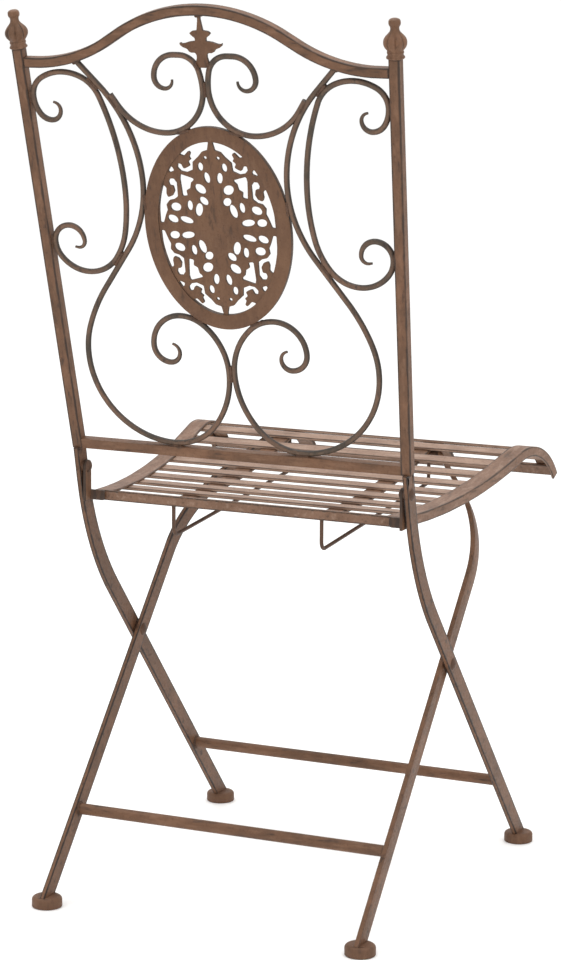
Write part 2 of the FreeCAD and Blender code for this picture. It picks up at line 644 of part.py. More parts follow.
def hinge_bracket():
    """Tab on the rear rail with an upright ear round the pivot rivet."""
    low = seat_height(SEAT_REAR) - EDGE_H
    ear = strip(V(PIVOT.x, low, 0), 90, [(PIVOT.y - low, 0)], -EAR_R, EAR_R)
    ear = slab(ear, EAR_IN, REAR_OUT).fuse(slab(
        Part.Face(Part.Wire(Part.makeCircle(EAR_R, PIVOT))), EAR_IN, REAR_OUT))
    tab_x = SEAT_REAR_HALF - TAB_LAP
    tab = Part.makeBox(REAR_OUT - tab_x, EAR_T, EDGE_H, V(tab_x, SEAT_REAR, low))
    corners = [edge for edge in tab.Edges if edge.BoundBox.XMax < SEAT_REAR_HALF
               and edge.BoundBox.YLength > EAR_T / 2]
    tab = tab.makeFillet(TAB_ROUND, corners)
    whole = placed(ear, SIDE).fuse(tab).removeSplitter()
    save_pair("hinge_bracket", whole.cut(pin_hole(PIVOT, SHANK_D + 2 * RUN_FIT)))


os.makedirs("parts", exist_ok=True)
back_panel()
front_legs()
rear_legs()
fasteners()
seat_sheets()
hinge_bracket()
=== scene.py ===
import json
import logging
import math
from dataclasses import dataclass, field, replace
from enum import Enum
from typing import Optional, Sequence

import bmesh
import bpy
from mathutils import Matrix, Vector

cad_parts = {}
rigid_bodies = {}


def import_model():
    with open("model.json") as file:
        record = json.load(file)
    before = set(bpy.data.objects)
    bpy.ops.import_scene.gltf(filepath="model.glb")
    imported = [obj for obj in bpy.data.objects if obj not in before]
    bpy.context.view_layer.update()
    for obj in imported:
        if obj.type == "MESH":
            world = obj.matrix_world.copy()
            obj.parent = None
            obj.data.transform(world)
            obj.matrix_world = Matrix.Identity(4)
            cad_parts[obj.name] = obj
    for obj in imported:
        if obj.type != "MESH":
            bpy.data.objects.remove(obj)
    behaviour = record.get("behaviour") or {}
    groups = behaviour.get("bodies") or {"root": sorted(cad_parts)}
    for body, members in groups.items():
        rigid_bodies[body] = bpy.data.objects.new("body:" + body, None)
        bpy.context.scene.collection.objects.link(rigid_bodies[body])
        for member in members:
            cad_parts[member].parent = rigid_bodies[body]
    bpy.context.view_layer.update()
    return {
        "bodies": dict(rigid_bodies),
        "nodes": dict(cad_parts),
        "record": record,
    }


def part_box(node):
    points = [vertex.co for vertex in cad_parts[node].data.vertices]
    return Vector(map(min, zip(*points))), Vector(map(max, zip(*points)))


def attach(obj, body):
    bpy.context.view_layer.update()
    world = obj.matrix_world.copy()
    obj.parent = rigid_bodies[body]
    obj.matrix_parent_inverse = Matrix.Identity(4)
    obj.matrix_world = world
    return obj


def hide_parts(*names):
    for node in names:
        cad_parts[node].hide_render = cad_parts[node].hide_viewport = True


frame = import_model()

LOG = logging.getLogger("garden_chair")
MM = 0.001
EDGE_LAYER = "edge_patina"
ROUND_LAYER = "rounded_face"
TIP_LAYER = "tip_share"
QUAD = 4

BMesh = bmesh.types.BMesh
Material = bpy.types.Material
Mesh = bpy.types.Mesh
Node = bpy.types.Node
Socket = bpy.types.NodeSocket
Tree = bpy.types.NodeTree
Move = tuple[float, float]
Spot = tuple[float, float]
Span = tuple[float, float]


class Body(Enum):
    """The rigid bodies of the chair."""

    BACK = "back_frame"
    LEGS = "rear_legs"
    SEAT = "seat"


class Side(Enum):
    """Sitter's sides, with the sign of x on each."""

    LEFT = 1
    RIGHT = -1

    @property
    def prefix(self) -> str:
        """Start of a node's name on this side."""
        return self.name.lower() + "_"


def linear(code: str) -> tuple[float, float, float, float]:
    """Turn an sRGB hex colour into a linear one.

    Args:
        code: six hex digits, with or without a leading hash.

    Returns:
        Linear red, green, blue and an alpha of 1.
    """
    digits = code.lstrip("#")
    values = [int(digits[i:i + 2], 16) / 255 for i in (0, 2, 4)]
    curve = [v / 12.92 if v <= 0.04045 else ((v + 0.055) / 1.055) ** 2.4 for v in values]
    return (curve[0], curve[1], curve[2], 1.0)


def add_node(tree: Tree, kind: str, inputs: Optional[dict] = None, **settings: object) -> Node:
    """Add a node with its settings and links.

    Args:
        tree: the tree that gets the node.
        kind: the node's type name.
        inputs: socket names or numbers, each with a value or an output socket to link.
        settings: attributes set on the node.

    Returns:
        The new node.
    """
    made = tree.nodes.new(kind)
    for name, value in settings.items():
        setattr(made, name, value)
    for key, value in (inputs or {}).items():
        if isinstance(value, Socket):
            tree.links.new(value, made.inputs[key])
        else:
            made.inputs[key].default_value = value
    return made


def per_metre(size_mm: float) -> float:
    """Texture scale whose features are about a size in millimetres."""
    return 1.0 / (size_mm * MM)


def noise(tree: Tree, place: Socket, size_mm: float, detail: float, rough: float) -> Socket:
    """Add a noise pattern.

    Args:
        tree: the tree that gets it.
        place: the coordinates that it reads.
        size_mm: about the size of its features.
        detail: how many finer patterns it holds.
        rough: how strong the finer patterns are.

    Returns:
        The pattern, from 0 to 1.
    """
    return add_node(tree, "ShaderNodeTexNoise", {
        "Vector": place, "Scale": per_metre(size_mm), "Detail": detail,
        "Roughness": rough}).outputs["Fac"]


def spread(tree: Tree, value: Socket, span: Span, high: float = 1.0, low: float = 0.0) -> Socket:
    """Stretch a span of a value over a new range, held at its ends.

    Args:
        tree: the tree that gets the node.
        value: the value to stretch.
        span: what becomes the low end and the high end.
        high: the new range's high end.
        low: the new range's low end.

    Returns:
        The stretched value.
    """
    return add_node(tree, "ShaderNodeMapRange", {
        "Value": value, "From Min": span[0], "From Max": span[1], "To Min": low,
        "To Max": high}).outputs[0]


def reckon(tree: Tree, operation: str, *values: object) -> Socket:
    """Add one sum of numbers.

    Args:
        tree: the tree that gets the node.
        operation: the sum's type name.
        values: numbers or sockets, in the node's order.

    Returns:
        The result.
    """
    return add_node(tree, "ShaderNodeMath", dict(enumerate(values)),
                    operation=operation).outputs[0]


def blend(tree: Tree, share: Socket, under: object, over: object) -> Socket:
    """Lay one colour over another.

    Args:
        tree: the tree that gets the node.
        share: how much of the upper colour shows.
        under: the lower colour, a value or a socket.
        over: the upper colour, a value or a socket.

    Returns:
        The blended colour.
    """
    return add_node(tree, "ShaderNodeMix", {"Factor": share, "A": under, "B": over},
                    data_type="RGBA").outputs["Result"]


def start_finish(name: str) -> tuple[Material, Socket]:
    """Start a finish that reads Object coordinates.

    Args:
        name: the material's name.

    Returns:
        The material, with an emptied tree, and the coordinates.
    """
    material = bpy.data.materials.new(name)
    material.use_nodes = True
    material.node_tree.nodes.clear()
    place = add_node(material.node_tree, "ShaderNodeTexCoord").outputs["Object"]
    return material, place


@dataclass(frozen=True)
class AntiquePaint:
    """Brown paint brushed over steel, with dark patina left in edges and wiped off faces."""

    name: str
    paint: str
    shade: str
    rubbed: str
    patina: str
    # Sizes of the cloudy, flecked and streaked patterns, and how the streaks are drawn out.
    cloud_mm: float = 34.0
    fleck_mm: float = 2.6
    streak_mm: float = 6.0
    grain: tuple[float, float, float] = (1.0, 1.0, 0.2)
    # Where each pattern brings in clear paint, wear, specks, blotches and dull spots.
    clear_span: Span = (0.36, 0.64)
    wear_span: Span = (0.52, 0.72)
    speck_span: Span = (0.56, 0.72)
    blotch_span: Span = (0.43, 0.31)
    gloss_span: Span = (0.3, 0.7)
    wear: float = 0.6
    stain: float = 0.35
    blotch: float = 0.55
    # The dark line along edges, how far the streaks break it, and where it sets in.
    edge_strength: float = 0.85
    line_break: float = 2.6
    line_from: float = 0.4
    line_blur: float = 0.6
    rough_low: float = 0.42
    rough_high: float = 0.66
    relief_mm: float = 0.15
    relief_strength: float = 0.5
    ior: float = 1.5
    specular: float = 0.32

    def colour(self, tree: Tree, cloud: Socket, fleck: Socket, streak: Socket) -> Socket:
        """Lay the coats over one another.

        Args:
            tree: the material's tree.
            cloud: the cloudy pattern.
            fleck: the flecked pattern.
            streak: the streaked pattern.

        Returns:
            The colour of the finish.
        """
        patina = linear(self.patina)
        clear = spread(tree, cloud, self.clear_span)
        base = blend(tree, clear, linear(self.shade), linear(self.paint))
        wiped = spread(tree, streak, self.wear_span, self.wear)
        worn = blend(tree, wiped, base, linear(self.rubbed))
        # Patina that was never wiped off stays as specks and drawn-out dark blotches.
        specks = spread(tree, fleck, self.speck_span, self.stain)
        blotches = spread(tree, streak, self.blotch_span, self.blotch)
        stained = blend(tree, reckon(tree, "MAXIMUM", specks, blotches), worn, patina)
        # The patina line is broken: it needs both the edge and the streaks. On the rods the edge
        # layer also holds painted shade on their sides.
        edge = add_node(tree, "ShaderNodeAttribute", attribute_name=EDGE_LAYER).outputs["Fac"]
        uneven = reckon(tree, "MULTIPLY_ADD", streak, self.line_break, -self.line_break / 2)
        reach = reckon(tree, "ADD", edge, uneven)
        line = spread(tree, reach, (self.line_from, self.line_from + self.line_blur),
                      self.edge_strength)
        return blend(tree, line, stained, patina)

    def build(self) -> Material:
        """Make the finish.

        Returns:
            A material that reads Object coordinates and the piece's edge layer.
        """
        material, place = start_finish(self.name)
        tree = material.node_tree
        cloud = noise(tree, place, self.cloud_mm, detail=5.0, rough=0.62)
        fleck = noise(tree, place, self.fleck_mm, detail=3.0, rough=0.7)
        # Brush streaks run along the bars, so the pattern is drawn out that way.
        drawn = add_node(tree, "ShaderNodeMapping", {"Vector": place, "Scale": self.grain})
        streak = noise(tree, drawn.outputs[0], self.streak_mm, detail=4.0, rough=0.6)
        gloss = spread(tree, fleck, self.gloss_span, self.rough_high, self.rough_low)
        bump = add_node(tree, "ShaderNodeBump", {
            "Height": fleck, "Strength": self.relief_strength, "Distance": self.relief_mm * MM})
        shader = add_node(tree, "ShaderNodeBsdfPrincipled", {
            "Base Color": self.colour(tree, cloud, fleck, streak), "Roughness": gloss,
            "Normal": bump.outputs[0], "IOR": self.ior, "Specular IOR Level": self.specular})
        add_node(tree, "ShaderNodeOutputMaterial", {"Surface": shader.outputs[0]})
        return material


@dataclass(frozen=True)
class PlainPaper:
    """Matt pale studio floor, very slightly mottled."""

    name: str = "matt_studio_paper"
    tone: str = "FDFDFC"
    mottled: str = "FBFBFA"
    cloud_mm: float = 500.0
    rough: float = 0.9

    def build(self) -> Material:
        """Make the floor's finish.

        Returns:
            A pale diffuse material.
        """
        material, place = start_finish(self.name)
        tree = material.node_tree
        cloud = noise(tree, place, self.cloud_mm, detail=2.0, rough=0.5)
        tone = blend(tree, cloud, linear(self.tone), linear(self.mottled))
        shader = add_node(tree, "ShaderNodeBsdfPrincipled", {
            "Base Color": tone, "Roughness": self.rough})
        add_node(tree, "ShaderNodeOutputMaterial", {"Surface": shader.outputs[0]})
        return material


# Painted steel bar and square tube: satin, with a dark line left in the edges.
BAR_PAINT = AntiquePaint("antique_brown_paint_on_steel_bar", paint="6F4E38", shade="5B402D",
                         rubbed="86644D", patina="2A211B", blotch=0.65)
# The same paint on the rails and stretchers, brushed across the chair.
RAIL_PAINT = replace(BAR_PAINT, name="antique_brown_paint_on_steel_rail", grain=(0.2, 1.0, 1.0))
# The same paint on the slanting legs, dabbed rather than brushed.
LEG_PAINT = replace(BAR_PAINT, name="antique_brown_paint_on_leg_bar", grain=(1.0, 0.55, 0.55),
                    patina="231B16", edge_strength=0.95, line_from=0.1)
# Painted round rod of the scrolls: darker, because the patina stays on the rod; its sides also
# get painted shade through the edge layer.
ROD_PAINT = AntiquePaint("antique_brown_paint_on_scroll_rod", paint="6C5140", shade="42392F",
                         rubbed="82664F", patina="2B2724", cloud_mm=55.0, blotch=0.8,
                         line_from=0.3)
# Painted cut plate of the medallion and fleur: flat and warm, edges dark.
PLATE_PAINT = AntiquePaint("antique_brown_paint_on_cut_plate", paint="694A34", shade="5D402C",
                           rubbed="73543C", patina="32251C", cloud_mm=45.0)
# Painted seat rails: rubbed paler and pinker where people sit.
SEAT_PAINT = AntiquePaint("rubbed_brown_paint_on_seat_rails", paint="7B5D4A", shade="6B4F3D",
                          rubbed="9C8270", patina="2F241D", grain=(1.0, 0.2, 1.0))
# The slats' paint: palest, partly from wear and partly painted light for the lit slat tops, with
# dark left along their edges.
WORN_AND_LIT_SLAT_PAINT = AntiquePaint("worn_pale_brown_paint_on_slats", paint="967A68", shade="836857",
                          rubbed="B09888", patina="3A2C23", blotch=0.4, grain=(0.2, 1.0, 1.0))
# Moulded foot caps: matt brown plastic, even in colour.
CAP_PAINT = AntiquePaint("matt_brown_moulded_cap", paint="674935", shade="5A3F2D",
                         rubbed="73543E", patina="3B2A20", edge_strength=0.5, relief_mm=0.05,
                         rough_low=0.55, rough_high=0.7)
# Weld and rivet metal under the same paint: lumpy and dark.
WELD_PAINT = AntiquePaint("antique_brown_paint_on_weld", paint="553C2C", shade="432F23",
                          rubbed="6A4D3B", patina="2A201A", relief_mm=0.25)


class Finishes:
    """All finishes of the chair, each built once."""

    def __init__(self) -> None:
        """Build every finish."""
        self.bar = BAR_PAINT.build()
        self.rail = RAIL_PAINT.build()
        self.leg = LEG_PAINT.build()
        self.rod = ROD_PAINT.build()
        self.plate = PLATE_PAINT.build()
        self.seat = SEAT_PAINT.build()
        self.slat = WORN_AND_LIT_SLAT_PAINT.build()
        self.cap = CAP_PAINT.build()
        self.weld = WELD_PAINT.build()
        self.paper = PlainPaper().build()


def link(name: str, mesh: Mesh, material: Material) -> bpy.types.Object:
    """Put a mesh in the scene as one piece with one finish.

    Args:
        name: the piece's name.
        mesh: its mesh, in the frame's coordinates.
        material: its finish.

    Returns:
        The new object, at the origin.
    """
    piece = bpy.data.objects.new(name, mesh)
    bpy.context.scene.collection.objects.link(piece)
    mesh.materials.clear()
    mesh.materials.append(material)
    return piece


def seat_piece(piece: bpy.types.Object, body: Body, slot: str, *nodes: str) -> None:
    """Tie a finished piece to the frame.

    Args:
        piece: the piece, in place.
        body: the body that it moves with.
        slot: the record's material slot. Not used.
        nodes: the CAD nodes that it stands for.
    """
    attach(piece, body.value)
    if nodes:
        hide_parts(*nodes)
    LOG.info("%s on %s, %d faces", piece.name, body.value, len(piece.data.polygons))


def dress(node: str, material: Material) -> None:
    """Give a CAD node a finish in all its material slots.

    Args:
        node: the CAD node.
        material: its finish.
    """
    piece = frame["nodes"][node]
    if not piece.material_slots:
        piece.data.materials.append(material)
    for slot in piece.material_slots:
        slot.material = material
    LOG.info("dressed %s with %s", node, material.name)


def soften(mesh: Mesh, angle_deg: float) -> None:
    """Smooth a mesh, keeping edges sharper than an angle."""
    mesh.polygons.foreach_set("use_smooth", [True] * len(mesh.polygons))
    mesh.set_sharp_from_angle(angle=math.radians(angle_deg))


@dataclass(frozen=True)
class BackPlane:
    """The leaning plane of the back: x across, s up from the lower rail, d to the front."""

    lean_deg: float = 12.2
    rail_y: float = 135.0
    rail_z: float = 474.0
    stile_x: float = 184.0
    flare_deg: float = 2.45

    @property
    def flare(self) -> float:
        """Angle of each stile to the upright, in radians."""
        return math.radians(self.flare_deg)

    def stile_at(self, s: float) -> float:
        """Distance of a stile's axis from the middle."""
        return self.stile_x + s * math.tan(self.flare)

    @property
    def up(self) -> Vector:
        """Direction of s."""
        lean = math.radians(self.lean_deg)
        return Vector((0, math.sin(lean), math.cos(lean)))

    @property
    def ahead(self) -> Vector:
        """Direction of d."""
        lean = math.radians(self.lean_deg)
        return Vector((0, -math.cos(lean), math.sin(lean)))

    def place(self, x: float, s: float, d: float = 0.0) -> Vector:
        """Point of the frame, in metres, for millimetres in the plane."""
        foot = Vector((x, self.rail_y, self.rail_z))
        return (foot + self.up * s + self.ahead * d) * MM


BACK = BackPlane()


@dataclass(frozen=True)
class Walk:
    """A path of straight runs and arcs in the back plane, in millimetres and degrees.

    A move is a straight run (length, 0) or an arc (radius, turn), a left turn positive.
    """

    start: Spot
    heading: float
    moves: tuple[Move, ...]
    step: float = 2.0
    bend_deg: float = 9.0

    def points(self) -> list[Spot]:
        """Lay spots along the path, closer together on tight arcs.

        Returns:
            The spots, with both ends.
        """
        x, s = self.start
        heading = math.radians(self.heading)
        spots = [(x, s)]
        for size, turn in self.moves:
            angle = math.radians(turn)
            length = size * abs(angle) if turn else size
            cuts = max(1, math.ceil(length / self.step), math.ceil(abs(turn) / self.bend_deg))
            for _ in range(cuts):
                half = angle / cuts / 2
                chord = 2 * size * math.sin(abs(half)) if turn else size / cuts
                heading += half
                x, s = x + chord * math.cos(heading), s + chord * math.sin(heading)
                heading += half
                spots.append((x, s))
        return spots

    def end(self) -> tuple[Spot, float]:
        """Last spot and the heading there."""
        turned = self.heading + sum(turn for _, turn in self.moves)
        return self.points()[-1], turned

    @classmethod
    def through(cls, anchor: Spot, heading: float, onward: Sequence[Move],
                back: Sequence[Move]) -> "Walk":
        """Path through an anchor, begun at the far end of its back branch.

        Args:
            anchor: a spot on the path.
            heading: the path's direction there.
            onward: moves after the anchor.
            back: moves from the anchor the other way.

        Returns:
            The whole path.
        """
        far, facing = cls(anchor, heading + 180, tuple(back)).end()
        turned = tuple((size, -turn) for size, turn in reversed(back))
        return cls(far, facing + 180, turned + tuple(onward))


class NodeRecipe:
    """A Geometry Nodes tree with named inputs, run on a mesh to give a plain mesh."""

    def __init__(self, name: str, inputs: dict[str, tuple[str, object]]) -> None:
        """Start a tree.

        Args:
            name: the tree's name.
            inputs: socket names, each with its type and value.
        """
        self.tree = bpy.data.node_groups.new(name, "GeometryNodeTree")
        self.values = {key: value for key, (_, value) in inputs.items()}
        face = self.tree.interface
        face.new_socket("Geometry", in_out="INPUT", socket_type="NodeSocketGeometry")
        face.new_socket("Geometry", in_out="OUTPUT", socket_type="NodeSocketGeometry")
        for key, (kind, _) in inputs.items():
            face.new_socket(key, in_out="INPUT", socket_type=kind)
        self.start = add_node(self.tree, "NodeGroupInput").outputs

    def add(self, kind: str, inputs: Optional[dict] = None, **settings: object) -> Node:
        """Add a node to the tree."""
        return add_node(self.tree, kind, inputs, **settings)

    def roughen(self, geometry: Socket, scale: Socket, depth: Socket, inward: bool) -> Socket:
        """Push a surface in or out along its normals, by a noise pattern.

        Args:
            geometry: the surface.
            scale: the pattern's scale.
            depth: how far the pattern pushes.
            inward: whether it pushes in.

        Returns:
            The uneven surface.
        """
        lumps = self.add("ShaderNodeTexNoise", {"Scale": scale}).outputs["Fac"]
        push = reckon(self.tree, "MULTIPLY", lumps, depth)
        if inward:
            push = reckon(self.tree, "MULTIPLY", push, -1.0)
        normal = self.add("GeometryNodeInputNormal").outputs[0]
        offset = self.add("ShaderNodeVectorMath", {0: normal, "Scale": push}, operation="SCALE")
        return self.add("GeometryNodeSetPosition", {
            "Geometry": geometry, "Offset": offset.outputs[0]}).outputs[0]

    def finish(self, geometry: Socket) -> None:
        """End the tree: smooth, realize, set the finish and give the result.

        Args:
            geometry: the shape that the tree has made.
        """
        smooth = self.add("GeometryNodeSetShadeSmooth", {"Geometry": geometry})
        real = self.add("GeometryNodeRealizeInstances", {"Geometry": smooth.outputs[0]})
        dressed = self.add("GeometryNodeSetMaterial", {
            "Geometry": real.outputs[0], "Material": self.start["Material"]})
        self.add("NodeGroupOutput", {"Geometry": dressed.outputs[0]})

    def run(self, name: str, mesh: Mesh) -> Mesh:
        """Run the tree on a mesh.

        Args:
            name: name of the result.
            mesh: what the tree starts from.

        Returns:
            A plain mesh without modifiers.
        """
        keys = {item.name: item.identifier for item in self.tree.interface.items_tree
                if item.item_type == "SOCKET" and item.in_out == "INPUT"}
        holder = bpy.data.objects.new(name + "_holder", mesh)
        bpy.context.scene.collection.objects.link(holder)
        modifier = holder.modifiers.new("recipe", "NODES")
        modifier.node_group = self.tree
        for key, value in self.values.items():
            modifier[keys[key]] = value
        ready = holder.evaluated_get(bpy.context.evaluated_depsgraph_get())
        result = bpy.data.meshes.new_from_object(ready)
        result.name = name
        holder.modifiers.remove(modifier)
        bpy.data.objects.remove(holder)
        return result


def line_mesh(name: str, paths: Sequence[Sequence[Vector]]) -> Mesh:
    """Make open lines of edges.

    Args:
        name: the mesh's name.
        paths: the points of each line, in the frame's coordinates.

    Returns:
        One mesh without faces.
    """
    verts: list[Vector] = []
    edges: list[tuple[int, int]] = []
    for path in paths:
        first = len(verts)
        verts += list(path)
        edges += [(i, i + 1) for i in range(first, len(verts) - 1)]
    mesh = bpy.data.meshes.new(name)
    mesh.from_pydata(verts, edges, [])
    return mesh


@dataclass
class EasedNode:
    """A CAD node's own shape with eased, worn edges, as rolled and ground bar has."""

    node: str
    body: Body
    ease_mm: float = 0.7
    rings: int = 2
    # What is joined, what is merged as flat, and what counts as an edge.
    join_mm: float = 0.01
    flat_deg: float = 1.5
    edge_deg: float = 35.0
    # The patina strip's width, its largest share of a surface, and how far it may stray.
    line_mm: float = 2.2
    line_share: float = 0.22
    stray: float = 4.0
    # Where a plate faces, and how little its walls look that way.
    facing: Optional[Vector] = None
    wall: float = 0.9

    def hard_edges(self, work: BMesh) -> list[bmesh.types.BMEdge]:
        """Edges where two faces meet at more than the edge angle."""
        return [e for e in work.edges if e.is_manifold
                and e.calc_face_angle(0.0) > math.radians(self.edge_deg)]

    def inside(self, work: BMesh) -> bool:
        """Look whether a mesh keeps to its node's box.

        Args:
            work: the mesh.

        Returns:
            True where no corner is outside.
        """
        low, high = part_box(self.node)
        spare = self.join_mm * MM
        return all(low[i] - spare <= v.co[i] <= high[i] + spare
                   for v in work.verts for i in range(3))

    def eased(self) -> BMesh:
        """Copy the node's mesh, join its triangles and round its edges.

        Returns:
            The mesh, with the rounded faces marked in a face layer.
        """
        work = bmesh.new()
        work.from_mesh(frame["nodes"][self.node].data)
        bmesh.ops.remove_doubles(work, verts=work.verts, dist=self.join_mm * MM)
        bmesh.ops.dissolve_limit(work, angle_limit=math.radians(self.flat_deg),
                                 verts=work.verts, edges=work.edges)
        work.faces.layers.int.new(ROUND_LAYER)
        eased = work.copy()
        made = bmesh.ops.bevel(eased, geom=self.hard_edges(eased), offset=self.ease_mm * MM,
                               segments=self.rings, profile=0.5, affect="EDGES",
                               clamp_overlap=True)
        if not self.inside(eased):
            eased.free()
            LOG.info("%s keeps its hard edges", self.node)
            return work
        work.free()
        layer = eased.faces.layers.int[ROUND_LAYER]
        for face in eased.faces:
            face[layer] = 0
        for face in made["faces"]:
            face[layer] = 1
        return eased

    def surfaces(self, work: BMesh) -> list[list[bmesh.types.BMFace]]:
        """Group the faces that aren't rounded into surfaces that no edge crosses.

        Args:
            work: the eased mesh.

        Returns:
            The faces of each surface.
        """
        limit = math.radians(self.edge_deg / 2)
        layer = work.faces.layers.int[ROUND_LAYER]
        for face in work.faces:
            face.tag = bool(face[layer])
        groups = []
        for first in work.faces:
            if first.tag:
                continue
            first.tag = True
            group, todo = [], [first]
            while todo:
                face = todo.pop()
                group.append(face)
                for edge in face.edges:
                    if edge.calc_face_angle(0.0) > limit:
                        continue
                    fresh = [other for other in edge.link_faces if not other.tag]
                    for other in fresh:
                        other.tag = True
                    todo += fresh
            groups.append(group)
        return groups

    def mark_strips(self, work: BMesh) -> bool:
        """Cut a strip along the rim of every surface and fade the edge layer over it.

        Args:
            work: the eased mesh.

        Returns:
            False where a strip can't follow its rim.
        """
        layer = work.verts.layers.float.new(EDGE_LAYER)
        for vert in work.verts:
            vert[layer] = 1.0
        for group in self.surfaces(work):
            inner = set(group)
            rim = [edge for face in group for edge in face.edges
                   if sum(other in inner for other in edge.link_faces) == 1]
            border = sum(edge.calc_length() for edge in rim)
            if not border:
                continue
            width = 2 * sum(face.calc_area() for face in group) / border
            strip = min(self.line_mm * MM, self.line_share * width)
            made = bmesh.ops.inset_region(work, faces=group, thickness=strip, use_boundary=True,
                                          use_even_offset=True)["faces"]
            core = {vert for face in group for vert in face.verts}
            for face in made:
                for vert in face.verts:
                    vert[layer] = 0.0 if vert in core else 1.0
            for vert in core:
                vert[layer] = 0.0
            reach = [edge.calc_length() for face in made for edge in face.edges
                     if (edge.verts[0] in core) != (edge.verts[1] in core)]
            if reach and max(reach) > self.stray * strip:
                return False
        return self.inside(work)

    def mark_walls(self, work: BMesh) -> None:
        """Set the edge layer on rounded faces and on a plate's walls, without strips.

        Args:
            work: the eased mesh.
        """
        rounds = work.faces.layers.int[ROUND_LAYER]
        layer = work.loops.layers.float.new(EDGE_LAYER)
        for face in work.faces:
            dark = face[rounds] or (self.facing is not None
                                    and abs(face.normal.dot(self.facing)) < self.wall)
            for loop in face.loops:
                loop[layer] = 1.0 if dark else 0.0

    def mesh(self) -> Mesh:
        """Make the eased mesh.

        Returns:
            The mesh, with an edge layer that fades away from the edges.
        """
        work = self.eased()
        striped = work.copy()
        if self.facing is None and self.mark_strips(striped):
            work.free()
            work = striped
        else:
            striped.free()
            self.mark_walls(work)
            LOG.info("%s has no strips", self.node)
        work.faces.layers.int.remove(work.faces.layers.int[ROUND_LAYER])
        bmesh.ops.triangulate(work, faces=[f for f in work.faces if len(f.verts) > QUAD])
        mesh = bpy.data.meshes.new(self.node + "_eased")
        work.to_mesh(mesh)
        work.free()
        soften(mesh, self.edge_deg)
        return mesh

    def build(self, material: Material, slot: str) -> None:
        """Put the eased piece in place of its node.

        Args:
            material: its finish.
            slot: the record's material slot.
        """
        piece = link(self.node + "_eased", self.mesh(), material)
        seat_piece(piece, self.body, slot, self.node)


